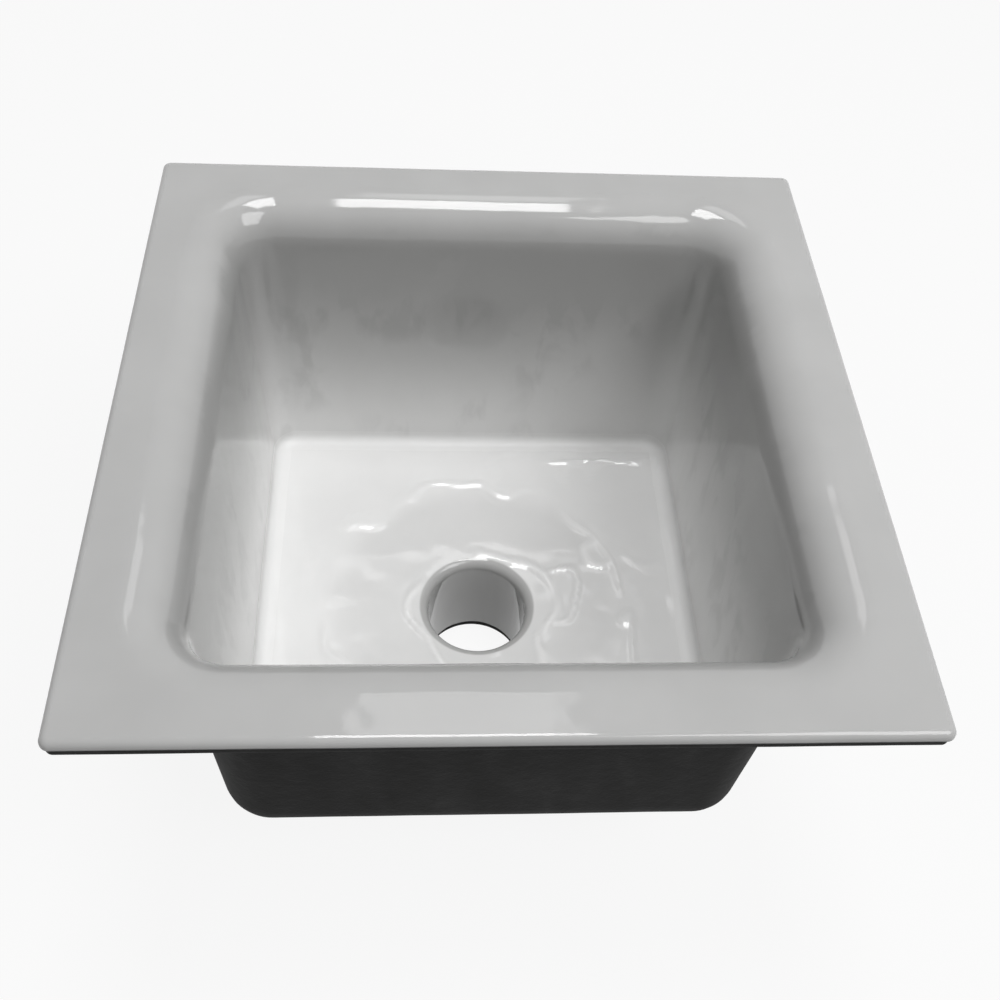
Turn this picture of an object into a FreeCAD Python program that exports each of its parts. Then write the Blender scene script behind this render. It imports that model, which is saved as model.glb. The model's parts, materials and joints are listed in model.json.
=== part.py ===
import FreeCAD, Part
import Sketcher
import math
import os

# Square floor sink, 12 x 12 inches and 6 inches deep, with a 2 inch outlet: one iron casting with a
# white enamel coat fired on its flange, bowl and outlet. The origin is the centre of the outlet's
# lower end and +Z points up, so the sink stands on its outlet. All sizes are in millimetres.

# Driving dimensions
SIZES = {
    # Flange: the square plate that lies level with the finished floor
    "flange_side": 304.8,
    "flange_corner": 4.0,
    "flange_iron": 7.9,
    # Enamel: its thickness, the least of it over the casting's bevels, the round of its outer edge,
    # and how it ends there and in the outlet
    "enamel": 1.0,
    "enamel_least": 0.6,
    "lip_round": 3.0,
    "lip_skirt": 0.4,
    "outlet_bare": 4.0,
    # Bowl: each wall leans out by the same amount from the floor to the plane of the flange
    "bowl_depth": 152.4,
    "floor_width": 217.5,
    "wall_lean": 5.55,
    "mouth_corner": 18.0,
    "mouth_roll": 22.0,
    "floor_edge_round": 6.0,
    # Casting round the bowl, with the corner of its plan at the flange
    "wall_iron": 6.4,
    "floor_iron": 8.0,
    "casting_corner": 28.0,
    "foot_round": 20.0,
    "flange_root_bevel": 6.0,
    # Drain: a shallow dish in the floor that falls to a flared outlet
    "dish_width": 154.0,
    "dish_fall_degrees": 3.3,
    "outlet_drop": 63.5,
    "outlet_bore": 49.8,
    "outlet_flare": 5.0,
    # Outlet spigot, the plain end of a 2 inch hubless pipe
    "spigot_width": 59.7,
    "spigot_root_bevel": 6.0,
    "spigot_end_bevel": 1.0,
    # How far a form runs into or past its neighbour so that the two join or cut cleanly
    "overrun": 2.0,
}

# Heights of the main faces above the outlet's lower end
RIM = "(Sizes.bowl_depth + Sizes.outlet_drop)"
FLANGE_TOP = f"({RIM} - Sizes.enamel)"
FLANGE_UNDERSIDE = f"({FLANGE_TOP} - Sizes.flange_iron)"
LIP_END = f"({RIM} - Sizes.lip_round - Sizes.lip_skirt)"
CASTING_BOTTOM = "(Sizes.outlet_drop - Sizes.enamel - Sizes.floor_iron)"

# The iron flange stops short of the enamel that laps over its edge
FLANGE_IRON_SIDE = "(Sizes.flange_side - 2 * Sizes.enamel)"
FLANGE_IRON_CORNER = "(Sizes.flange_corner - Sizes.enamel)"

# The mouth is where the walls would meet the flange without the roll. The casting outside has the
# same draft as the walls inside, and rounder corners
MOUTH_WIDTH = "(Sizes.floor_width + 2 * Sizes.wall_lean)"
HALF_MOUTH = f"({MOUTH_WIDTH} / 2)"
HALF_FLOOR = "(Sizes.floor_width / 2)"
WALL_DRAFT = "atan(Sizes.wall_lean / Sizes.bowl_depth)"
DISH_FALL = "(Sizes.dish_fall_degrees * 1 deg)"

EDGE_TOLERANCE = 0.01
UPWARDS = FreeCAD.Vector(0, 0, 1)

doc = FreeCAD.newDocument("floor_sink")


def make_sheet():
    """One row for each driving dimension: its name, and its value under that name."""
    sheet = doc.addObject("Spreadsheet::Sheet", "Sizes")
    for row, (name, value) in enumerate(SIZES.items(), start=1):
        sheet.set(f"A{row}", name)
        sheet.set(f"B{row}", str(value))
        sheet.setAlias(f"B{row}", name)
    doc.recompute()
    return sheet


sheet = make_sheet()


def value_of(expression):
    return float(sheet.evalExpression(expression))


def make_body(name):
    body = doc.addObject("PartDesign::Body", name)
    body.Label = name
    return body


def attach(sketch, body, role):
    planes = [feature for feature in body.Origin.OriginFeatures if feature.Role == role]
    sketch.AttachmentSupport = [(planes[0], "")]
    sketch.MapMode = "FlatFace"


def level_sketch(body, name, level):
    """A horizontal sketch at a height given by an expression."""
    sketch = body.newObject("Sketcher::SketchObject", name)
    attach(sketch, body, "XY_Plane")
    sketch.setExpression("AttachmentOffset.Base.z", level)
    return sketch


def bind(sketch, constraint, expression):
    """Add a dimension and tie it to the sheet."""
    index = sketch.addConstraint(constraint)
    sketch.setExpression(f"Constraints[{index}]", expression)


def draw_square(sketch, side, corner):
    """Draw a centred square with four equal corner arcs."""
    half = value_of(side) / 2
    radius = value_of(corner)
    straight = half - radius
    lines = []
    arcs = []
    for quarter in range(4):
        turn = FreeCAD.Rotation(UPWARDS, 90 * quarter)
        start = turn.multVec(FreeCAD.Vector(-straight, -half, 0))
        end = turn.multVec(FreeCAD.Vector(straight, -half, 0))
        centre = turn.multVec(FreeCAD.Vector(straight, -straight, 0))
        circle = Part.Circle(centre, UPWARDS, radius)
        first_angle = math.pi / 2 * (quarter - 1)
        lines.append(sketch.addGeometry(Part.LineSegment(start, end)))
        arcs.append(sketch.addGeometry(Part.ArcOfCircle(circle, first_angle, first_angle + math.pi / 2)))
    for quarter in range(4):
        following = (quarter + 1) % 4
        sketch.addConstraint(Sketcher.Constraint("Tangent", lines[quarter], 2, arcs[quarter], 1))
        sketch.addConstraint(Sketcher.Constraint("Tangent", arcs[quarter], 2, lines[following], 1))
        direction = "Horizontal" if quarter % 2 == 0 else "Vertical"
        sketch.addConstraint(Sketcher.Constraint(direction, lines[quarter]))
    for arc in arcs[1:]:
        sketch.addConstraint(Sketcher.Constraint("Equal", arcs[0], arc))
    sketch.addConstraint(Sketcher.Constraint("Equal", lines[0], lines[1]))
    sketch.addConstraint(Sketcher.Constraint("Symmetric", lines[0], 1, lines[2], 1, -1, 1))
    bind(sketch, Sketcher.Constraint("DistanceX", lines[3], 1, lines[1], 1, 2 * half), side)
    bind(sketch, Sketcher.Constraint("Radius", arcs[0], radius), corner)


def square_sketch(body, name, level, side, corner):
    sketch = level_sketch(body, name, level)
    draw_square(sketch, side, corner)
    return sketch


def circle_sketch(body, name, level, width):
    sketch = level_sketch(body, name, level)
    radius = value_of(width) / 2
    circle = sketch.addGeometry(Part.Circle(FreeCAD.Vector(0, 0, 0), UPWARDS, radius))
    sketch.addConstraint(Sketcher.Constraint("Coincident", circle, 3, -1, 1))
    bind(sketch, Sketcher.Constraint("Diameter", circle, 2 * radius), width)
    return sketch


def pad(body, name, sketch, length, downwards=False):
    feature = body.newObject("PartDesign::Pad", name)
    feature.Profile = sketch
    feature.setExpression("Length", length)
    feature.Reversed = downwards
    doc.recompute()
    return feature


def drafted_block(body, name, outline, height):
    """A block hung from a level outline, whose sides lean in towards its foot at the bowl's draft."""
    block = pad(body, f"{name}_block", outline, height, downwards=True)
    sides = []
    for index, face in enumerate(block.Shape.Faces, start=1):
        tilt = face.normalAt(0, 0).z
        if abs(tilt) < EDGE_TOLERANCE:
            sides.append(f"Face{index}")
        elif tilt > 0:
            top = f"Face{index}"
    walls = body.newObject("PartDesign::Draft", f"{name}_walls")
    walls.Base = (block, sides)
    walls.NeutralPlane = (block, [top])
    walls.setExpression("Angle", WALL_DRAFT)
    walls.Reversed = True
    doc.recompute()
    if walls.Shape.Volume >= block.Shape.Volume:
        raise RuntimeError(f"{name}: the walls don't lean in")
    return walls


def level_edges(feature, level, nearest, furthest):
    """Names of the level edges at one height that reach this far out from the middle of the sink."""
    names = []
    for index, edge in enumerate(feature.Shape.Edges, start=1):
        points = edge.discretize(9)
        if max(abs(point.z - level) for point in points) > EDGE_TOLERANCE:
            continue
        reach = max(max(abs(point.x), abs(point.y)) for point in points)
        if nearest - EDGE_TOLERANCE < reach < furthest + EDGE_TOLERANCE:
            names.append(f"Edge{index}")
    return names


def dress_edges(body, name, kind, level, nearest, furthest):
    """A fillet or chamfer of the level edges at one height, between two distances from the middle."""
    base = body.Tip
    edges = level_edges(base, value_of(level), value_of(nearest), value_of(furthest))
    if not edges:
        raise RuntimeError(f"{name}: no edge to dress")
    feature = body.newObject(kind, name)
    feature.Base = (base, edges)
    return feature


def round_edges(body, name, level, nearest, furthest, radius):
    feature = dress_edges(body, name, "PartDesign::Fillet", level, nearest, furthest)
    feature.setExpression("Radius", radius)
    doc.recompute()


def bevel_edges(body, name, level, nearest, furthest, leg):
    feature = dress_edges(body, name, "PartDesign::Chamfer", level, nearest, furthest)
    feature.setExpression("Size", leg)
    doc.recompute()


def bevel_under(enamel_round):
    """The casting's bevel under a round of the enamel, as wide as leaves the least coat at its ends."""
    dip = "(Sizes.enamel - Sizes.enamel_least)"
    return f"({enamel_round} - Sizes.enamel - sqrt(2 * {enamel_round} * {dip} - {dip} ^ 2))"


def bore_radius(grow):
    return f"(Sizes.outlet_bore / 2 + {grow})"


def bore_top(grow):
    """The height where the dish's slope meets the bore."""
    slope_run = f"(Sizes.dish_width / 2 - {bore_radius(grow)})"
    return f"(Sizes.outlet_drop - {grow} - {slope_run} * tan({DISH_FALL}))"


def drain_sketch(body, name, grow):
    """Half section of the dish and the outlet's bore, on the sink's axis."""
    floor = f"(Sizes.outlet_drop - {grow})"
    floor_z = value_of(floor)
    dish_r = value_of("Sizes.dish_width / 2")
    bore_r = value_of(bore_radius(grow))
    overrun = value_of("Sizes.overrun")
    corners = [
        FreeCAD.Vector(dish_r, floor_z, 0),
        FreeCAD.Vector(dish_r, floor_z + overrun, 0),
        FreeCAD.Vector(0, floor_z + overrun, 0),
        FreeCAD.Vector(0, -overrun, 0),
        FreeCAD.Vector(bore_r, -overrun, 0),
        FreeCAD.Vector(bore_r, value_of(bore_top(grow)), 0),
    ]
    sketch = body.newObject("Sketcher::SketchObject", name)
    attach(sketch, body, "XZ_Plane")
    lines = []
    for start, end in zip(corners, corners[1:] + corners[:1]):
        lines.append(sketch.addGeometry(Part.LineSegment(start, end)))
    edge_side, top, axis, foot, bore_side, slope = lines
    for line, following in zip(lines, lines[1:] + lines[:1]):
        sketch.addConstraint(Sketcher.Constraint("Coincident", line, 2, following, 1))
    for line in (edge_side, axis, bore_side):
        sketch.addConstraint(Sketcher.Constraint("Vertical", line))
    for line in (top, foot):
        sketch.addConstraint(Sketcher.Constraint("Horizontal", line))
    sketch.addConstraint(Sketcher.Constraint("PointOnObject", axis, 1, -2))
    bind(sketch, Sketcher.Constraint("DistanceX", -1, 1, edge_side, 1, dish_r), "Sizes.dish_width / 2")
    bind(sketch, Sketcher.Constraint("DistanceY", -1, 1, edge_side, 1, floor_z), floor)
    bind(sketch, Sketcher.Constraint("DistanceY", edge_side, 1, edge_side, 2, overrun), "Sizes.overrun")
    bind(sketch, Sketcher.Constraint("DistanceY", axis, 2, -1, 1, overrun), "Sizes.overrun")
    bind(sketch, Sketcher.Constraint("DistanceX", foot, 1, foot, 2, bore_r), bore_radius(grow))
    fall = math.radians(value_of("Sizes.dish_fall_degrees"))
    bind(sketch, Sketcher.Constraint("Angle", slope, fall), DISH_FALL)
    return sketch


def add_bowl(body, prefix, grow):
    """The hollow of the bowl and the outlet, grown sideways and down by a thickness."""
    mouth = square_sketch(body, f"{prefix}_mouth", f"{RIM} - {grow}", f"{MOUTH_WIDTH} + 2 * {grow}",
                          f"Sizes.mouth_corner + {grow}")
    drafted_block(body, f"{prefix}_bowl", mouth, "Sizes.bowl_depth")
    section = drain_sketch(body, f"{prefix}_drain_section", grow)
    drain = body.newObject("PartDesign::Revolution", f"{prefix}_drain")
    drain.Profile = section
    drain.ReferenceAxis = (section, ["V_Axis"])
    drain.Angle = 360
    doc.recompute()


def facet_edge(body, name, radius, level, reach, faces):
    """Three bevels in place of a round, each touching it. The edge's two faces leave it in these directions,
    given as how far out and up they go."""
    wide = f"({radius} * (2 - sqrt(2)))"
    narrow = f"({radius} * (tan(22.5 deg) - tan(11.25 deg)))"
    bevel_edges(body, name, level, reach, reach, wide)
    for number, (out, up) in enumerate(faces, start=1):
        side = f"({reach} + {wide} * {out})"
        bevel_edges(body, f"{name}_{number}", f"({level} + {wide} * {up})", side, side, narrow)


def make_basin_form():
    """The room inside the enamel: the air over the flange, the bowl, the drain and the outlet."""
    body = make_body("basin_form")
    add_bowl(body, "basin", "0")
    over = square_sketch(body, "basin_over", RIM, "Sizes.flange_side + 2 * Sizes.overrun",
                         "Sizes.flange_corner")
    pad(body, "basin_air", over, "Sizes.overrun")
    round_edges(body, "basin_roll", RIM, HALF_MOUTH, HALF_MOUTH, "Sizes.mouth_roll")
    round_edges(body, "basin_floor_edge", "Sizes.outlet_drop", HALF_FLOOR, HALF_FLOOR,
                "Sizes.floor_edge_round")
    facet_edge(body, "basin_flare", "Sizes.outlet_flare", bore_top("0"), bore_radius("0"),
               [(f"cos({DISH_FALL})", f"sin({DISH_FALL})"), ("0", "(-1)")])
    # The enamel stops above the outlet's lower end
    bare_end = circle_sketch(body, "basin_bare_end", "-Sizes.overrun", "Sizes.spigot_width")
    pad(body, "basin_bare_outlet", bare_end, "Sizes.outlet_bare + Sizes.overrun")
    return body


def make_coat_form():
    """The bond of enamel and iron: the casting's hollow, plain and bevelled, and a cap over its flange."""
    body = make_body("coat_form")
    add_bowl(body, "coat", "Sizes.enamel")
    plate = square_sketch(body, "coat_plate_outline", FLANGE_TOP, "Sizes.flange_side",
                          "Sizes.flange_corner")
    pad(body, "coat_plate", plate, "Sizes.enamel")
    skirt = square_sketch(body, "coat_skirt_outline", LIP_END, "Sizes.flange_side",
                          "Sizes.flange_corner")
    draw_square(skirt, FLANGE_IRON_SIDE, FLANGE_IRON_CORNER)
    pad(body, "coat_skirt", skirt, "Sizes.lip_round + Sizes.lip_skirt")
    half_iron = f"{FLANGE_IRON_SIDE} / 2"
    half_side = "Sizes.flange_side / 2"
    half_mouth = f"({HALF_MOUTH} + Sizes.enamel)"
    half_floor = f"({HALF_FLOOR} + Sizes.enamel)"
    bore = bore_radius("Sizes.enamel")
    round_edges(body, "coat_lip", RIM, half_side, half_side, "Sizes.lip_round")
    bevel_edges(body, "coat_lip_inside", FLANGE_TOP, half_iron, half_iron, bevel_under("Sizes.lip_round"))
    facet_edge(body, "coat_roll", "(Sizes.mouth_roll - Sizes.enamel)", FLANGE_TOP, half_mouth,
               [("1", "0"), (f"(-sin({WALL_DRAFT}))", f"(-cos({WALL_DRAFT}))")])
    bevel_edges(body, "coat_floor_edge", "Sizes.outlet_drop - Sizes.enamel", half_floor, half_floor,
                "Sizes.floor_edge_round / 2 + Sizes.enamel")
    bevel_edges(body, "coat_flare", bore_top("Sizes.enamel"), bore, bore, bevel_under("Sizes.outlet_flare"))
    return body


def make_casting_form():
    """The outside of the casting: flange, drafted bowl and outlet spigot."""
    body = make_body("casting_form")
    skin = "(Sizes.enamel + Sizes.wall_iron)"
    half_flange = f"{FLANGE_IRON_SIDE} / 2"
    half_spigot = "Sizes.spigot_width / 2"

    bowl_top = square_sketch(body, "bowl_top", FLANGE_TOP, f"{MOUTH_WIDTH} + 2 * {skin}",
                             "Sizes.casting_corner")
    drafted_block(body, "bowl", bowl_top, "Sizes.bowl_depth + Sizes.floor_iron")
    round_edges(body, "bowl_foot", CASTING_BOTTOM, "0", half_flange, "Sizes.foot_round")

    plate = square_sketch(body, "flange_outline", FLANGE_UNDERSIDE, FLANGE_IRON_SIDE, FLANGE_IRON_CORNER)
    pad(body, "flange_plate", plate, "Sizes.flange_iron")
    bevel_edges(body, "flange_root", FLANGE_UNDERSIDE, "0", f"{half_flange} - Sizes.overrun",
                "Sizes.flange_root_bevel")

    spigot = circle_sketch(body, "spigot_outline", "0", "Sizes.spigot_width")
    pad(body, "spigot", spigot, f"{CASTING_BOTTOM} + Sizes.floor_iron / 2")
    bevel_edges(body, "spigot_root", CASTING_BOTTOM, half_spigot, half_spigot, "Sizes.spigot_root_bevel")
    bevel_edges(body, "spigot_end", "0", half_spigot, half_spigot, "Sizes.spigot_end_bevel")
    return body


def cut(name, base, tool):
    feature = doc.addObject("Part::Cut", name)
    feature.Label = name
    feature.Base = base
    feature.Tool = tool
    feature.Refine = True
    doc.recompute()
    return feature


basin_form = make_basin_form()
coat_form = make_coat_form()
casting_form = make_casting_form()

# The two real pieces meet on the coat's own form, so the enamel lies on the iron with no gap
cast_iron_body = cut("cast_iron_body", casting_form, coat_form)
enamel_lining = cut("enamel_lining", coat_form, basin_form)
pieces = [cast_iron_body, enamel_lining]

for feature in doc.Objects:
    if "Invalid" in feature.State or "Error" in feature.State:
        raise RuntimeError(f"{feature.Name} failed: {feature.State}")
for piece in pieces:
    if piece.Shape.isNull() or not piece.Shape.isValid():
        raise RuntimeError(f"{piece.Label} has no valid shape")
    if len(piece.Shape.Solids) != 1:
        raise RuntimeError(f"{piece.Label} has {len(piece.Shape.Solids)} solids, not one")

os.makedirs("parts", exist_ok=True)
for piece in pieces:
    piece.Shape.exportStep(os.path.join("parts", f"{piece.Label}.step"))
    print(f"{piece.Label}: {piece.Shape.Volume / 1000:.1f} cubic centimetres")
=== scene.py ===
# %% [markdown]
# A square floor sink: one iron casting, black outside, with white glass enamel fired on its flange, in its
# bowl and down its outlet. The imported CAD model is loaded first. It fixes every size and place, and the two
# pieces modelled here stand for its two nodes, with the finish of the real ones.

# %% Load the frame
import json
import math

import bmesh
import bpy
from mathutils import Matrix, Quaternion, Vector, noise


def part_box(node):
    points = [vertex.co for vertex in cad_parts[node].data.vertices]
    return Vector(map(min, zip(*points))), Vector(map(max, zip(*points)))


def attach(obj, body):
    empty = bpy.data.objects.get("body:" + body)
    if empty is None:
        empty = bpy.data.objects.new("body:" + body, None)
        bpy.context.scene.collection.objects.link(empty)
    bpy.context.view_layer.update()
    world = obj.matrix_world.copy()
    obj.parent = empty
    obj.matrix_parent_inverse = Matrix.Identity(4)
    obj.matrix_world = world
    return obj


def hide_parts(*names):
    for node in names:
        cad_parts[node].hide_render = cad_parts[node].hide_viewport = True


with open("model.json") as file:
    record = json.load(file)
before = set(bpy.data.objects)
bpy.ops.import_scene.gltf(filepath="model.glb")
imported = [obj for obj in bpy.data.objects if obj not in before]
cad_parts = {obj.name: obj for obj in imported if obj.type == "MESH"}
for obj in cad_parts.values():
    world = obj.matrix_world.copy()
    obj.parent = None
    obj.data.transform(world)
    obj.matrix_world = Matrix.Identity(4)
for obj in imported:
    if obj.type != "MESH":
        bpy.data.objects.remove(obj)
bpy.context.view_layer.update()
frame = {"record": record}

MM = 0.001

# %% [markdown]
# The main sizes are read from the frame: the boxes of the two nodes give the flange, the enamel's thickness
# and the ends of the pieces, and the record's mounts give the outlet. The sizes inside the bowl can't be
# read from a box, so they are written here as the drawing has them.

# %% Sizes from the frame
lining_low, lining_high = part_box("enamel_lining")
casting_low, casting_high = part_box("cast_iron_body")
mounts = {mount["name"]: mount for mount in frame["record"]["mounts"]}

SIDE_HALF = lining_high.x
RIM = lining_high.z
ENAMEL = lining_high.z - casting_high.z
BORE_END = lining_low.z
SPIGOT_END = casting_low.z
BORE = mounts["drain_bore"]["dims"]["r_mm"] * MM
SPIGOT = mounts["outlet_spigot"]["dims"]["r_mm"] * MM
UNDERSIDE = mounts["flange_seat"]["pos_m"][2]
print(f"flange {2 * SIDE_HALF / MM:.1f} wide, rim at {RIM / MM:.1f}, enamel {ENAMEL / MM:.2f} thick")

# %% Sizes of the bowl
FLOOR = 63.5 * MM
FLOOR_HALF = 108.75 * MM
FLOOR_ROUND = 6 * MM
MOUTH_HALF = 114.3 * MM
MOUTH_CORNER = 18 * MM
ROLL = 22 * MM
WALL_SLOPE = (MOUTH_HALF - FLOOR_HALF) / (RIM - FLOOR)
print(f"walls lean {math.degrees(math.atan(WALL_SLOPE)):.2f} degrees")

# %% Sizes of the drain
DISH = 77 * MM
DISH_FALL = math.tan(math.radians(3.3))
DISH_BLEND = 60 * MM
FLARE = 5 * MM
print(f"the dish falls {(DISH - BORE) * DISH_FALL / MM:.1f} mm to the outlet")

# %% [markdown]
# Both pieces are square with round corners, and a corner of such a bowl is a turned shape: the walls lean,
# but the axis that each corner turns on, its corner post, stands upright. A bevelled box could give the
# bowl, but not a roll and a floor round that run evenly through the corners. So a section is drawn once, a
# few points with some of them rounded off by a vertex bevel. Spun a quarter turn about the post it makes
# the corner, and drawn out straight from both ends it makes half of two sides. Two mirrors complete the
# square. A spin with no angle but with a step is a straight extrusion in many rows, which is what the
# uneven glaze needs later.

# %% Draw a section
def round_off(bm, vert, radius, faces):
    """Round a corner of a section with an arc of this radius."""
    arms = [edge.other_vert(vert).co - vert.co for edge in vert.link_edges]
    turn = math.pi - arms[0].angle(arms[1])
    bmesh.ops.bevel(bm, geom=[vert], offset=radius * math.tan(turn / 2), offset_type="OFFSET",
                    affect="VERTICES", segments=faces, profile=0.5, material=-1)


def draw_section(points, post, row, rounds):
    """A wire of (reach, height) points in a new bmesh, with {point number: (radius, faces)} rounded off."""
    bm = bmesh.new()
    verts = [bm.verts.new((reach, post, height)) for reach, height in points]
    for pair in zip(verts, verts[1:]):
        bm.edges.new(pair)
    for number, (radius, faces) in rounds.items():
        round_off(bm, verts[number], radius, faces)
    for edge in list(bm.edges):
        cuts = int(edge.calc_length() / row)
        if cuts:
            bmesh.ops.subdivide_edges(bm, edges=[edge], cuts=cuts)
    return bm


# %% Sweep a section round a square or a circle
UPRIGHT = Vector((0, 0, 1))
CORNER_STEPS = 16
SIDE_STEPS = 24
AROUND = 4 * (CORNER_STEPS + 2 * SIDE_STEPS)
MERGE_DISTANCE = 0.001 * MM


def sweep_square(bm, post):
    """Spin a section about its corner post, draw both ends out to the middle of a side, mirror twice."""
    section = bm.verts[:] + bm.edges[:]
    corner = bmesh.ops.spin(bm, geom=section, cent=(post, post, 0), axis=UPRIGHT, angle=math.pi / 2,
                            steps=CORNER_STEPS)
    stride = post / SIDE_STEPS
    for end, step in ((section, (0, -stride, 0)), (corner["geom_last"], (-stride, 0, 0))):
        bmesh.ops.spin(bm, geom=end, cent=(0, 0, 0), axis=UPRIGHT, dvec=step, angle=0, steps=SIDE_STEPS)
    for axis in "XY":
        everything = bm.verts[:] + bm.edges[:] + bm.faces[:]
        bmesh.ops.mirror(bm, geom=everything, matrix=Matrix(), merge_dist=MERGE_DISTANCE, axis=axis)
    return bm


def sweep_round(bm):
    """Spin a section a full turn about the sink's own axis."""
    section = bm.verts[:] + bm.edges[:]
    bmesh.ops.spin(bm, geom=section, cent=(0, 0, 0), axis=UPRIGHT, angle=2 * math.pi, steps=AROUND,
                   use_merge=True)
    return bm


print(f"{AROUND} faces round each piece")

# %% [markdown]
# The shells are joined by bridging their open loops, which makes the flat faces of the flange, the floor
# and the bottom. Two loops that lie in one plane can be bridged the wrong way round, because the operator
# finds their direction from the line between them. So the second shell is held well below the first while
# they are bridged, and is then lifted back into place.

# %% Join two shells
HOLD = Vector((0, 0, 300 * MM))
LEVEL_TOLERANCE = 0.01 * MM


def open_loop(bm, level):
    """The open edges that lie at one height."""
    return [edge for edge in bm.edges if edge.is_boundary
            and all(abs(vert.co.z - level) < LEVEL_TOLERANCE for vert in edge.verts)]


def join(bm, shell, flats):
    """Add a shell to a bmesh and bridge their loops at some heights: (height, rows between them) pairs."""
    first = set(bm.verts)
    bmesh.ops.translate(shell, verts=shell.verts[:], vec=-HOLD)
    mesh = bpy.data.meshes.new("shell")
    shell.to_mesh(mesh)
    shell.free()
    bm.from_mesh(mesh)
    bpy.data.meshes.remove(mesh)
    added = [vert for vert in bm.verts if vert not in first]
    bridges = []
    for level, cuts in flats:
        loops = open_loop(bm, level) + open_loop(bm, level - HOLD.z)
        bridges.append((bmesh.ops.bridge_loops(bm, edges=loops)["edges"], cuts))
    bmesh.ops.translate(bm, verts=added, vec=HOLD)
    for edges, cuts in bridges:
        if cuts:
            bmesh.ops.subdivide_edges(bm, edges=edges, cuts=cuts, use_grid_fill=True)
    return bm


def clean(bm):
    """Merge the doubles that the mirrors and spins left, and turn the faces one way."""
    bmesh.ops.remove_doubles(bm, verts=bm.verts[:], dist=MERGE_DISTANCE)
    bmesh.ops.recalc_face_normals(bm, faces=bm.faces[:])


# %% [markdown]
# The basin is the surface that holds the water, from the edge of the flange over its top, down the roll and
# the walls, across the floor and into the outlet. The CAD node could be copied, but its long thin triangles
# would crease under waves, and even rows of quads don't. The same code makes it twice: as the enamel's own
# face, with no growth, and as the casting's hidden face under it, grown by the thickness of the enamel.

# %% The basin's shells
POST = MOUTH_HALF - MOUTH_CORNER
FLANGE_INNER = 142 * MM
FLOOR_INNER = 98 * MM
DISH_OUTER = 80 * MM
ROLL_FACES = 14
FLOOR_ROUND_FACES = 6
DISH_FACES = 4
FLARE_FACES = 7


def basin(grow, outlet_end, row, drain_row, floor_rows):
    """The bowl and the drain of a basin grown by a thickness into the metal."""
    top = RIM - grow
    floor = FLOOR - grow
    bore = BORE + grow
    bowl = draw_section(
        [(FLANGE_INNER, top), (MOUTH_HALF + grow, top), (FLOOR_HALF + grow, floor), (FLOOR_INNER, floor)],
        POST, row, {1: (ROLL - grow, ROLL_FACES), 2: (FLOOR_ROUND + grow, FLOOR_ROUND_FACES)})
    drain = draw_section(
        [(DISH_OUTER, floor), (DISH, floor), (bore, floor - (DISH - bore) * DISH_FALL), (bore, outlet_end)],
        0, drain_row, {1: (DISH_BLEND, DISH_FACES), 2: (FLARE - grow, FLARE_FACES)})
    return join(sweep_square(bowl, POST), sweep_round(drain), [(floor, floor_rows)])


# %% The enamel's face
FLANGE_CORNER = 4 * MM
LIP_POST = SIDE_HALF - FLANGE_CORNER
LIP_INNER = LIP_POST + 0.5 * MM
LIP_ROUND = 3 * MM
LIP_END = RIM - LIP_ROUND - 0.4 * MM
LIP_FACES = 6
ROW = 3.2 * MM
DRAIN_ROW = 1.6 * MM
FLOOR_ROWS = 20
FLANGE_ROWS = 5


def enamel_face():
    """The basin with the lip that turns over the flange's edge. The top face shows which side is out."""
    lip = draw_section([(LIP_INNER, RIM), (SIDE_HALF, RIM), (SIDE_HALF, LIP_END)], LIP_POST, ROW,
                       {1: (LIP_ROUND, LIP_FACES)})
    bm = join(basin(0, BORE_END, ROW, DRAIN_ROW, FLOOR_ROWS), sweep_square(lip, LIP_POST),
              [(RIM, FLANGE_ROWS)])
    clean(bm)
    if max(bm.faces, key=lambda face: face.calc_center_median().z).normal.z < 0:
        bmesh.ops.reverse_faces(bm, faces=bm.faces[:])
    return bm


enamel = enamel_face()
print(f"enamel face: {len(enamel.faces)} quads")

# %% [markdown]
# Enamel is glass that melted and ran, so its face is never flat. Slow swells bend a reflection, smaller
# ripples break it into streaks, and on the walls both are drawn out downwards, the way the glass sagged. A
# bump in the finish could bend the light too, but the swells also show along the edges, so they are real
# geometry. They only ever go inwards, so the piece stays inside the CAD model's box.

# %% Waves in the glaze
SWELL = 0.16 * MM
SWELL_SIZE = 38 * MM
RIPPLE = 0.05 * MM
RIPPLE_SIZE = 13 * MM
SAG = 0.4
LIP_FRAY = 0.25 * MM
LIP_FRAY_SIZE = 6 * MM
BORE_FRAY = 1.5 * MM
BORE_FRAY_SIZE = 9 * MM


def share_at(point):
    """Smooth noise from 0 to 1."""
    return 0.5 + 0.5 * noise.noise(point)


def wave(point, size):
    """Noise that is drawn out downwards."""
    return share_at(Vector((point.x, point.y, point.z * SAG)) / size)


def sink_in(bm, depths):
    """Move every vertex inwards by the sum of noises, each with a depth and a size."""
    bm.normal_update()
    for vert, normal in [(vert, vert.normal.copy()) for vert in bm.verts]:
        vert.co -= normal * sum(depth * wave(vert.co, size) for depth, size in depths)


def fray(bm, level, reach, size):
    """Let an open edge of the enamel run unevenly up from its lowest line."""
    for vert in bm.verts:
        if vert.is_boundary and abs(vert.co.z - level) < LEVEL_TOLERANCE:
            vert.co.z += reach * share_at(vert.co / size)


fray(enamel, LIP_END, LIP_FRAY, LIP_FRAY_SIZE)
fray(enamel, BORE_END, BORE_FRAY, BORE_FRAY_SIZE)
sink_in(enamel, [(SWELL, SWELL_SIZE), (RIPPLE, RIPPLE_SIZE)])
print(f"waves in the glaze: up to {(SWELL + RIPPLE) / MM:.2f} mm deep")

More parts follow.
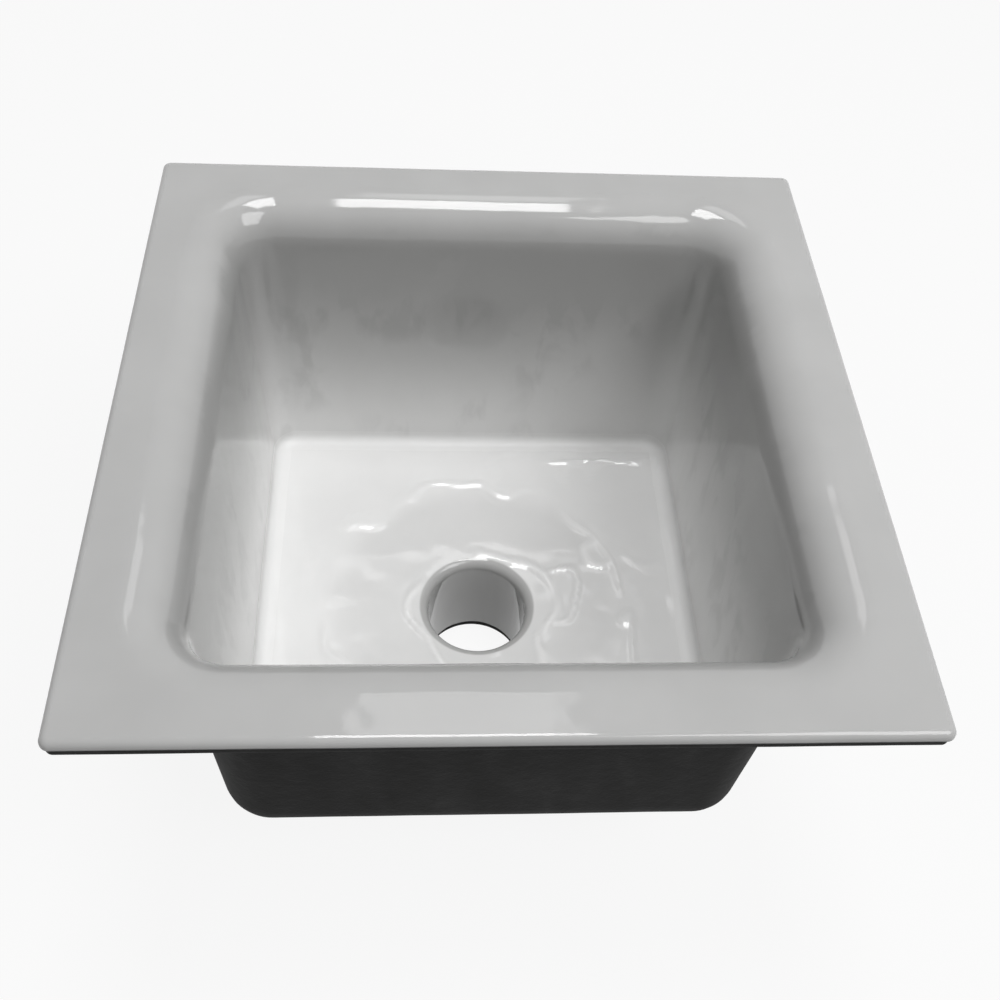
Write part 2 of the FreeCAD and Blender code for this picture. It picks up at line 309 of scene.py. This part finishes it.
# %% [markdown]
# On the floor the glass froze in low ridges: along the rim of the dish, round the outlet, here and there on
# one side, and highest where it pooled before the back wall. They catch the lamp overhead, so they are
# raised in the mesh and not only painted. A ridge lies where a wandering distance is nought, and noise
# breaks it into pieces. Each noise has a size and a layer, and no two layers are alike.

# %% Noise over the floor
SMALL_BENDS = 0.35


def soft_step(value, low, high):
    """0 at low, 1 at high, smooth between them. Low may be the larger."""
    share = min(1, max(0, (value - low) / (high - low)))
    return share * share * (3 - 2 * share)


def drift(point, size, layer):
    """Slow noise over the floor, from about -1 to 1."""
    return noise.noise(Vector((point.x / size, point.y / size, layer)))


def meander(point, size, layer):
    """Drift with bends a third as large on top of it."""
    return drift(point, size, layer) + SMALL_BENDS * drift(point, size / 3, layer + 1)


# %% Rings in the glaze
RIDGE_WIDTH = 3.2 * MM
OUTLET_RING = BORE + 9 * MM
RING_WANDER = 13 * MM
RING_BENDS = (42 * MM, 0.5)
RING_BREAKS = (34 * MM, 3.5)
RING_GAPS = (-0.35, -0.05)


def rings_at(point):
    """Ridges along the rim of the dish and round the outlet."""
    wandering = point.xy.length + RING_WANDER * meander(point, *RING_BENDS)
    rings = sum(soft_step(abs(wandering - ring), RIDGE_WIDTH, 0) for ring in (DISH, OUTLET_RING))
    return rings * soft_step(drift(point, *RING_BREAKS), *RING_GAPS)


# %% Squiggles on one side of the floor
SQUIGGLE_BENDS = (40 * MM, 77.5)
SQUIGGLE_WIDTH = 0.09
SQUIGGLE_BREAKS = (36 * MM, 11.5)
SQUIGGLE_GAPS = (-0.2, 0.1)
SQUIGGLE_SIDE = 25 * MM


def squiggles_at(point):
    """Ridges where a noise crosses nought."""
    squiggle = soft_step(abs(meander(point, *SQUIGGLE_BENDS)), SQUIGGLE_WIDTH, 0)
    squiggle *= soft_step(drift(point, *SQUIGGLE_BREAKS), *SQUIGGLE_GAPS)
    return squiggle * soft_step(point.x, 0, SQUIGGLE_SIDE)


# %% The pool before the back wall
POOL_LINE = 93 * MM
POOL_WANDER = 8 * MM
POOL_BENDS = (26 * MM, 20.5)
POOL_WIDTH = 1.2 * RIDGE_WIDTH
POOL_START = 36 * MM
POOL_FULL = 50 * MM


def pool_at(point):
    """A ridge near the back wall, towards one corner."""
    from_line = abs(point.y - POOL_LINE + POOL_WANDER * meander(point, *POOL_BENDS))
    return soft_step(from_line, POOL_WIDTH, 0) * soft_step(point.x, POOL_START, POOL_FULL)


# %% [markdown]
# How much a vertex is raised is also kept in an attribute of the mesh, because the thick glass of a ridge
# is whiter, and the colour whitens the ridges further as a painted glint. The finish could work the ridges
# out again from noise, but reading the attribute keeps the colour exactly on the shape.

# %% Raise the ridges
RIDGE = 0.85 * MM
POOL_RIDGE = 1.8
LEVEL_NORMAL = 0.9

ridge_layer = enamel.verts.layers.float.new("ridge")
enamel.normal_update()
for vert in enamel.verts:
    if vert.co.z < FLOOR and vert.normal.z > LEVEL_NORMAL:
        low_ridge = min(1, rings_at(vert.co) + squiggles_at(vert.co))
        vert[ridge_layer] = max(low_ridge, POOL_RIDGE * pool_at(vert.co))
        vert.co.z += RIDGE * vert[ridge_layer]
print("vertices on ridges:", sum(vert[ridge_layer] > 0.5 for vert in enamel.verts))

# %% [markdown]
# The coat is about a millimetre of glass, and its edge shows under the lip and in the outlet. A Solidify
# modifier could thicken it, and the operator of the same name does it once and for all. A finished piece
# rides on the sink's body and stands for its CAD node.

# %% The enamel gets its thickness
SHARP_ANGLE = math.radians(38)


def finish_piece(bm, name, node):
    """Turn a bmesh into a piece that stands for a CAD node and rides with the sink."""
    mesh = bpy.data.meshes.new(name)
    bm.to_mesh(mesh)
    bm.free()
    mesh.shade_smooth()
    mesh.set_sharp_from_angle(angle=SHARP_ANGLE)
    piece = bpy.data.objects.new(name, mesh)
    bpy.context.scene.collection.objects.link(piece)
    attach(piece, "root")
    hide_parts(node)
    print(f"{name}: {len(mesh.polygons)} faces, {len(mesh.loop_triangles)} triangles")
    return piece


bmesh.ops.solidify(enamel, geom=enamel.faces[:], thickness=ENAMEL)
enamel_coat = finish_piece(enamel, "enamel_coat", "enamel_lining")

# %% [markdown]
# The casting is closed all round: its hidden face under the enamel, the edge of the flange, the flange's
# underside, the outside of the bowl with a wide round at its foot, and the outlet spigot. The inside could
# be thickened to give the outside, but the real outside has rounder corners and a heavier floor, so it gets
# sections of its own, swept and joined as the basin was.

# %% Sizes of the casting's outside
FLANGE_TOP = RIM - ENAMEL
FLANGE_IRON_HALF = SIDE_HALF - ENAMEL
WALL_IRON = 6.4 * MM
FLOOR_IRON = 8 * MM
CASTING_BOTTOM = FLOOR - ENAMEL - FLOOR_IRON
OUTER_MOUTH = MOUTH_HALF + ENAMEL + WALL_IRON
OUTER_CORNER = 28 * MM
OUTER_POST = OUTER_MOUTH - OUTER_CORNER
ROOT_HALF = OUTER_MOUTH - (FLANGE_TOP - UNDERSIDE) * WALL_SLOPE
FOOT_HALF = OUTER_MOUTH - (FLANGE_TOP - CASTING_BOTTOM) * WALL_SLOPE
FOOT_INNER = OUTER_POST + 1 * MM
print(f"bowl outside: {2 * ROOT_HALF / MM:.1f} mm wide at its root, {2 * FOOT_HALF / MM:.1f} at its foot")

# %% Sections of the casting's outside
OUTER_ROW = 4 * MM
FLANGE_EDGE_ROUND = 1.2 * MM
FLANGE_EDGE_FACES = 4
ROOT_ROUND = 8 * MM
SPIGOT_ROOT_ROUND = 8 * MM
ROOT_FACES = 6
FOOT_ROUND = 20 * MM
FOOT_FACES = 9
SPIGOT_END_ROUND = 1 * MM
SPIGOT_END_FACES = 4


def flange_edge():
    return draw_section(
        [(LIP_INNER, FLANGE_TOP), (FLANGE_IRON_HALF, FLANGE_TOP), (FLANGE_IRON_HALF, UNDERSIDE),
         (LIP_INNER, UNDERSIDE)], LIP_POST, OUTER_ROW,
        {1: (LIP_ROUND - ENAMEL, FLANGE_EDGE_FACES), 2: (FLANGE_EDGE_ROUND, FLANGE_EDGE_FACES)})


def bowl_outside():
    return draw_section(
        [(FLANGE_INNER, UNDERSIDE), (ROOT_HALF, UNDERSIDE), (FOOT_HALF, CASTING_BOTTOM),
         (FOOT_INNER, CASTING_BOTTOM)], OUTER_POST, OUTER_ROW,
        {1: (ROOT_ROUND, ROOT_FACES), 2: (FOOT_ROUND, FOOT_FACES)})


def spigot_outside():
    return draw_section(
        [(SPIGOT + 2 * SPIGOT_ROOT_ROUND, CASTING_BOTTOM), (SPIGOT, CASTING_BOTTOM), (SPIGOT, SPIGOT_END),
         (SPIGOT - 2 * SPIGOT_END_ROUND, SPIGOT_END)], 0, OUTER_ROW,
        {1: (SPIGOT_ROOT_ROUND, ROOT_FACES), 2: (SPIGOT_END_ROUND, SPIGOT_END_FACES)})


# %% Close the casting
HIDDEN_ROW = 9 * MM
HIDDEN_ROWS = 2
UNDERSIDE_ROWS = 2
BOTTOM_ROWS = 8

flange = join(sweep_square(flange_edge(), LIP_POST), sweep_square(bowl_outside(), OUTER_POST),
              [(UNDERSIDE, UNDERSIDE_ROWS)])
outside = join(flange, sweep_round(spigot_outside()), [(CASTING_BOTTOM, BOTTOM_ROWS)])
casting = join(basin(ENAMEL, SPIGOT_END, HIDDEN_ROW, HIDDEN_ROW, HIDDEN_ROWS), outside,
               [(FLANGE_TOP, HIDDEN_ROWS), (SPIGOT_END, 0)])
clean(casting)
print("open edges:", sum(edge.is_boundary for edge in casting.edges))

# %% [markdown]
# Iron that was cast in sand swells and dips a little, because the mould gives under the metal's weight. The
# waves that moved the glaze move the casting too, slower and deeper.

# %% Waves in the iron
CAST_SWELL = 0.22 * MM
CAST_SWELL_SIZE = 52 * MM
CAST_DIMPLE = 0.10 * MM
CAST_DIMPLE_SIZE = 17 * MM

sink_in(casting, [(CAST_SWELL, CAST_SWELL_SIZE), (CAST_DIMPLE, CAST_DIMPLE_SIZE)])
iron_casting = finish_piece(casting, "iron_casting", "cast_iron_body")

# %% [markdown]
# Node trees read like sums when a socket is wrapped in a small class: adding or multiplying two wires adds
# a Math node and hands back its output. Any other kind of node comes from one method, which sets the node
# up first and then fills or links its sockets.

# %% A wire between nodes
class Wire:
    """A socket in a node tree. Arithmetic on it adds Math nodes."""

    def __init__(self, tree, socket):
        self.tree = tree
        self.socket = socket

    def node(self, kind, inputs, output=0, **settings):
        made = self.tree.nodes.new(kind)
        for name, value in settings.items():
            setattr(made, name, value)
        for name, value in inputs.items():
            if isinstance(value, Wire):
                self.tree.links.new(value.socket, made.inputs[name])
            else:
                made.inputs[name].default_value = value
        return Wire(self.tree, made.outputs[output])

    def math(self, operation, first, second):
        return self.node("ShaderNodeMath", {0: first, 1: second}, operation=operation)

    def __add__(self, other):
        return self.math("ADD", self, other)

    def __radd__(self, other):
        return self.math("ADD", other, self)

    def __sub__(self, other):
        return self.math("SUBTRACT", self, other)

    def __rsub__(self, other):
        return self.math("SUBTRACT", other, self)

    def __mul__(self, other):
        return self.math("MULTIPLY", self, other)

    def __rmul__(self, other):
        return self.math("MULTIPLY", other, self)

    def __pow__(self, other):
        return self.math("POWER", self, other)


# %% Patterns that both finishes use
def ramp(value, low, high):
    """0 below low, 1 above high, smooth between them. Low may be the larger."""
    return value.node("ShaderNodeMapRange", {"Value": value, "From Min": low, "From Max": high},
                      interpolation_type="SMOOTHSTEP")


def stretched(place, along):
    """The place with its height scaled, for grain that runs downwards."""
    return place.node("ShaderNodeVectorMath", {0: place, 1: (1, 1, along)}, operation="MULTIPLY")


def grain(place, size, detail=2.0, distortion=0.0):
    """Smooth noise whose blotches are about this size."""
    return place.node("ShaderNodeTexNoise", {"Vector": place, "Scale": 1 / size, "Detail": detail,
                                             "Distortion": distortion})


def mix_colour(factor, first, second):
    """The first colour at 0, the second at 1. A colour Mix node numbers its sockets like this."""
    return factor.node("ShaderNodeMix", {0: factor, 6: first, 7: second}, output=2, data_type="RGBA")


def bump(height, depth, normal=None):
    """Dents of a depth in metres, on top of another bump if there is one."""
    inputs = {"Height": height, "Distance": depth, "Strength": 1.0}
    if normal:
        inputs["Normal"] = normal
    return height.node("ShaderNodeBump", inputs)


# %% Start a finish
def new_finish(name):
    """A material with a Principled shader, and the wire of its Object coordinates."""
    material = bpy.data.materials.new(name)
    material.use_nodes = True
    tree = material.node_tree
    shader = tree.nodes["Principled BSDF"]
    place = Wire(tree, tree.nodes.new("ShaderNodeTexCoord").outputs["Object"])
    return material, shader, place


def feed(shader, place, **sockets):
    """Link wires to the shader, or set plain values on its own sockets."""
    for name, value in sockets.items():
        socket = shader.inputs[name.replace("_", " ")]
        if isinstance(value, Wire):
            place.tree.links.new(value.socket, socket)
        else:
            socket.default_value = value


# %% [markdown]
# White enamel is milky glass, and its white depends on how thick it lies on the dark iron. It slid off the
# upper walls and pooled on the floor. The colour goes from grey under the rolled rim to bright white at the
# bottom, with the flange between them: partly the glass's thickness, and partly painted shade under the rim
# and on the upper walls and painted light on the floor. The outlet is greyed as painted shade, the ridges
# are whitened as a painted glint, and the dish is a little greyer. There are slow cloudy patches, and darker
# blotches on the walls where the iron shines through. The glass could be made to scatter light inside, but
# that renders slowly, so one number from 0 to 1, the thickness with the painted light and shade in it, mixes
# a thin and a thick colour. Each pair of heights or distances below is a fade from none to full.

# %% Where the enamel lies thick, with painted shade and painted light
# The fades of the roll and the walls paint shade under the rim and on the upper walls, and the floor's fade
# paints light on the floor, on top of the glass that pooled there.
ROLL_PAINTED_SHADE_FADE = (RIM - 14 * MM, RIM - 2 * MM)
WALL_POOL_AND_PAINTED_SHADE_FADE = (FLOOR + 115 * MM, FLOOR + 8 * MM)
FLOOR_POOL_AND_PAINTED_LIGHT_FADE = (FLOOR + 5 * MM, FLOOR + 1 * MM)
# The dish is made greyer, with a frayed edge near its rim.
DISH_FADE = (DISH + 9 * MM, DISH - 8 * MM)
DISH_FRAY = 12 * MM
DISH_FRAY_SIZE = 30 * MM
FLANGE_GLASS = 0.29
WALL_POOL_AND_PAINTED_SHADE = 0.76
FLOOR_POOL_AND_PAINTED_LIGHT = 0.22
# The ridges' share whitens them for thicker glass and as a painted glint.
RIDGE_GLASS_AND_PAINTED_GLINT = 0.3
DISH_GREYING = 0.22


def glass_with_painted_light(place, from_axis, height, ridges):
    """Whiteness by height: some glass pooled down the walls and on the floor, with painted shade under the
    rolled rim and on the upper walls and painted light on the floor; the ridges whiter with thicker glass and
    a painted glint, and the dish greyer.
    """
    on_flange = ramp(height, *ROLL_PAINTED_SHADE_FADE)
    sunk = ramp(height, *WALL_POOL_AND_PAINTED_SHADE_FADE)
    on_floor = ramp(height, *FLOOR_POOL_AND_PAINTED_LIGHT_FADE)
    frayed = from_axis + grain(place, DISH_FRAY_SIZE, detail=1) * DISH_FRAY
    in_dish = ramp(frayed, *DISH_FADE)
    glass_and_painted_light = on_flange * FLANGE_GLASS + sunk * WALL_POOL_AND_PAINTED_SHADE + on_floor * FLOOR_POOL_AND_PAINTED_LIGHT
    on_walls = (1 - on_flange) * (1 - on_floor)
    return glass_and_painted_light - in_dish * DISH_GREYING + ridges * RIDGE_GLASS_AND_PAINTED_GLINT, on_walls


# %% Blotches and clouds
SPOT_SIZE = 16 * MM
SPOT_FADE = (0.48, 0.66)
SPOT_STRETCH = 0.5
PATCH_SIZE = 60 * MM
PATCH_FADE = (0.40, 0.56)
CLOUD_SIZE = 40 * MM
CLOUD_STRETCH = 0.6


def blotches(place):
    """Dripping spots that come in patches."""
    spots = grain(stretched(place, SPOT_STRETCH), SPOT_SIZE, detail=3, distortion=0.3)
    patches = grain(place, PATCH_SIZE, detail=1)
    return ramp(spots, *SPOT_FADE) * ramp(patches, *PATCH_FADE)


def clouds(place):
    """Slow patches, as much thicker as thinner."""
    return grain(stretched(place, CLOUD_STRETCH), CLOUD_SIZE, detail=3) - 0.5


# %% The enamel's colour
THIN_ENAMEL = (0.47, 0.47, 0.465, 1)
THICK_ENAMEL = (0.92, 0.92, 0.915, 1)
IRON_SHADE = (0.16, 0.16, 0.16, 1)
BLOTCH_LOSS = 0.16
CLOUD_SHARE = 0.22
# The outlet's fade greys the bore and the inside of the flare, partly for thin glass there and partly as
# painted shade.
OUTLET_PAINTED_SHADE = 0.9
OUTLET_FADE = (BORE + 5 * MM, BORE + 3.6 * MM)
LOW_EDGE_FADE = (LIP_END + 0.9 * MM, LIP_END + 0.2 * MM)
LIP_FADE = (LIP_INNER, SIDE_HALF - LIP_ROUND)


def enamel_colour(place, from_axis, reach, height, ridges):
    """White by thickness with painted light and shade, greyed down the outlet as painted shade, with the iron
    showing along the lip's lower edge.
    """
    glass_and_painted_light, on_walls = glass_with_painted_light(place, from_axis, height, ridges)
    in_outlet = ramp(from_axis, *OUTLET_FADE)
    whiteness_with_painted_light = glass_and_painted_light - blotches(place) * on_walls * BLOTCH_LOSS + clouds(place) * CLOUD_SHARE
    white = mix_colour(whiteness_with_painted_light * (1 - in_outlet * OUTLET_PAINTED_SHADE), THIN_ENAMEL, THICK_ENAMEL)
    low_edge = ramp(height, *LOW_EDGE_FADE) * ramp(reach, *LIP_FADE)
    return mix_colour(low_edge, white, IRON_SHADE)


# %% [markdown]
# The skin of the glass has a fine orange peel, and on the walls it ran down in broad shallow drips. Both
# are far too shallow to see in an outline, so they only bend the light, as bumps.

# %% The enamel's skin
PEEL_SIZE = 3.5 * MM
PEEL_DEPTH = 0.012 * MM
DRIP_SIZE = 18 * MM
DRIP_DEPTH = 0.3 * MM
DRIP_STRETCH = 0.3


def enamel_skin(place):
    peel = bump(grain(place, PEEL_SIZE), PEEL_DEPTH)
    drips = grain(stretched(place, DRIP_STRETCH), DRIP_SIZE, detail=1)
    return bump(drips, DRIP_DEPTH, peel)


# %% [markdown]
# The glass shines all over. It is duller in a few smears, and in the hollow where the walls meet the floor.

# %% The enamel's finish
GLOSS = 0.06
SMEAR_DULL = 0.08
SMEAR_SIZE = 30 * MM
SMEAR_FADE = (0.5, 0.75)
HOLLOW_DULL = 0.35
HOLLOW_REACH = (FLOOR_INNER, FLOOR_HALF - FLOOR_ROUND)
HOLLOW_HEIGHT = (FLOOR + 9 * MM, FLOOR + 4 * MM)


def coordinate(place, number):
    return place.node("ShaderNodeSeparateXYZ", {0: place}, output=number)


def enamel_dullness(place, reach, height):
    smear = ramp(grain(place, SMEAR_SIZE, detail=4, distortion=1.5), *SMEAR_FADE)
    hollow = ramp(reach, *HOLLOW_REACH) * ramp(height, *HOLLOW_HEIGHT)
    return GLOSS + smear * SMEAR_DULL + hollow * HOLLOW_DULL


def enamel_finish():
    """Reach is the distance from the middle, measured as in a square."""
    material, shader, place = new_finish("white_enamel")
    across, along, height = (coordinate(place, number) for number in range(3))
    from_axis = (across * across + along * along) ** 0.5
    sideways, lengthways = (place.math("ABSOLUTE", wire, 0.0) for wire in (across, along))
    reach = place.math("MAXIMUM", sideways, lengthways)
    ridges = place.node("ShaderNodeAttribute", {}, output="Fac", attribute_name="ridge")
    feed(shader, place, Base_Color=enamel_colour(place, from_axis, reach, height, ridges),
         Roughness=enamel_dullness(place, reach, height), Normal=enamel_skin(place))
    return material


enamel_coat.data.materials.append(enamel_finish())
print("the enamel's finish has", len(enamel_coat.data.materials[0].node_tree.nodes), "nodes")

# %% [markdown]
# The outside of the casting is dipped in black bitumen paint. The sand's grain shows through the coat, and
# the coat itself is a little shinier where it ran thick and duller where it soaked in. A plain black would
# do from far away, but near to, the runs and the grain are what make it iron.

# %% The black coat's finish
BLACK_COAT = (0.005, 0.005, 0.005, 1)
DUSTY_COAT = (0.012, 0.012, 0.0117, 1)
COAT_SHINE = 0.1
COAT_DULL = 0.5
RUN_DULL = 0.3
RUN_SIZE = 18 * MM
RUN_STRETCH = 0.3
RUN_FADE = (0.35, 0.75)
SAND_SIZE = 1.3 * MM
SAND_DEPTH = 0.12 * MM
LUMP_SIZE = 6 * MM
LUMP_DEPTH = 0.25 * MM


def black_finish():
    material, shader, place = new_finish("black_coated_iron")
    runs = grain(stretched(place, RUN_STRETCH), RUN_SIZE, detail=4, distortion=0.6)
    colour = mix_colour(ramp(runs, *RUN_FADE), BLACK_COAT, DUSTY_COAT)
    sand = bump(grain(place, SAND_SIZE, detail=3), SAND_DEPTH)
    lumps = bump(grain(place, LUMP_SIZE, detail=3), LUMP_DEPTH, sand)
    feed(shader, place, Base_Color=colour, Roughness=COAT_DULL + runs * RUN_DULL, Normal=lumps,
         Specular_IOR_Level=COAT_SHINE)
    return material


iron_casting.data.materials.append(black_finish())
print("the black coat has", len(iron_casting.data.materials[0].node_tree.nodes), "nodes")

# %% [markdown]
# The sink stands on a white floor in a white room. More light could whiten them, but it would bleach the
# enamel too. So the camera, and anything shiny or clear, is shown both at full white, while the light they
# give stays low. Part of the floor's real shading is kept, so that the shadow under the sink stays.

# %% The floor
STAGE_SIZE = 8
SHADOW_SHARE = 0.1
FLOOR_PAINT = (0.9, 0.9, 0.9, 1)
WHITE = (1, 1, 1, 1)


def shown(tree):
    """1 for a ray that shows something to the camera, straight, in a shiny face or through glass."""
    path = tree.nodes.new("ShaderNodeLightPath")
    seen, shiny, through = (Wire(tree, path.outputs[name])
                            for name in ("Is Camera Ray", "Is Glossy Ray", "Is Transmission Ray"))
    return seen.math("MAXIMUM", seen.math("MAXIMUM", seen, shiny), through)


def floor_finish():
    material = bpy.data.materials.new("white_floor")
    material.use_nodes = True
    tree = material.node_tree
    tree.nodes.remove(tree.nodes["Principled BSDF"])
    share = shown(tree) * (1 - SHADOW_SHARE)
    paint = share.node("ShaderNodeBsdfDiffuse", {"Color": FLOOR_PAINT})
    glow = share.node("ShaderNodeEmission", {"Color": WHITE, "Strength": 1.0})
    both = share.node("ShaderNodeMixShader", {0: share, 1: paint, 2: glow})
    tree.links.new(both.socket, tree.nodes["Material Output"].inputs["Surface"])
    return material


stage = bmesh.new()
bmesh.ops.create_grid(stage, x_segments=1, y_segments=1, size=STAGE_SIZE / 2)
stage_mesh = bpy.data.meshes.new("floor")
stage.to_mesh(stage_mesh)
stage.free()
stage_mesh.materials.append(floor_finish())
floor = bpy.data.objects.new("floor", stage_mesh)
bpy.context.scene.collection.objects.link(floor)
print(f"a floor {STAGE_SIZE} m wide")

# %% The room's own light
AMBIENT = 0.045


def room_light():
    world = bpy.data.worlds.new("white_room")
    world.use_nodes = True
    tree = world.node_tree
    background = tree.nodes["Background"]
    strength = AMBIENT + shown(tree) * (1 - AMBIENT)
    tree.links.new(strength.socket, background.inputs["Strength"])
    background.inputs["Color"].default_value = WHITE
    return world


bpy.context.scene.world = room_light()
print(f"the room lights the sink at {AMBIENT} of its white")

# %% [markdown]
# Three lamps shape the sink. A panel straight overhead gives the long bright bar on the rolled rim and the
# line on the front edge. A dimmer one behind it gives the pale patch on the front of the flange. A wide
# soft one at the right lights the left half of the bowl, and leaves the right wall and that side of the
# floor in shade. Lamps of no size would give points of light in the glaze, so all three are panels.

# %% Lamps
def panel(name, place, aim, width, length, watts):
    """An area lamp that faces a point."""
    lamp = bpy.data.lights.new(name, "AREA")
    lamp.shape = "RECTANGLE"
    lamp.size = width
    lamp.size_y = length
    lamp.energy = watts
    lamp_object = bpy.data.objects.new(name, lamp)
    lamp_object.location = place
    lamp_object.rotation_mode = "QUATERNION"
    lamp_object.rotation_quaternion = (Vector(aim) - Vector(place)).to_track_quat("-Z", "Y")
    bpy.context.scene.collection.objects.link(lamp_object)


MOUTH_CENTRE = (0, 0, RIM)
panel("overhead", place=(0.03, 0.12, RIM + 1.5), aim=(0.03, 0.12, RIM), width=0.42, length=0.6, watts=8.7)
panel("behind", place=(0.07, 0.75, RIM + 1.5), aim=MOUTH_CENTRE, width=0.4, length=0.45, watts=1.2)
panel("right", place=(0.9, -0.6, RIM + 1.6), aim=MOUTH_CENTRE, width=1.0, length=1.0, watts=16)

# %% [markdown]
# The camera looks down into the bowl from the front, a little from the left and slightly tilted, as the
# photograph was taken. Its distance and lens come from the corners of the flange and the edges of the
# floor.

# %% Where the camera stands
CAMERA_TARGET = Vector((0.43 * MM, -52.19 * MM, RIM))
CAMERA_AZIMUTH = math.radians(-6.757)
CAMERA_ELEVATION = math.radians(52.045)
CAMERA_ROLL = math.radians(5.598)
CAMERA_DISTANCE = 442.49 * MM

level = math.cos(CAMERA_ELEVATION)
back = Vector((math.sin(CAMERA_AZIMUTH) * level, -math.cos(CAMERA_AZIMUTH) * level,
               math.sin(CAMERA_ELEVATION)))
camera_place = CAMERA_TARGET + back * CAMERA_DISTANCE
print("camera at", [round(value, 4) for value in camera_place])

# %% The camera
CAMERA_LENS = 41.964
SENSOR = 36
NEAREST = 10 * MM

camera_data = bpy.data.cameras.new("camera")
camera_data.lens = CAMERA_LENS
camera_data.sensor_width = SENSOR
camera_data.clip_start = NEAREST
camera = bpy.data.objects.new("camera", camera_data)
bpy.context.scene.collection.objects.link(camera)
camera.location = camera_place
camera.rotation_mode = "QUATERNION"
camera.rotation_quaternion = (-back).to_track_quat("-Z", "Y") @ Quaternion(UPRIGHT, CAMERA_ROLL)
bpy.context.scene.camera = camera
bpy.context.scene.view_settings.view_transform = "Standard"
print(f"lens of {CAMERA_LENS} mm")
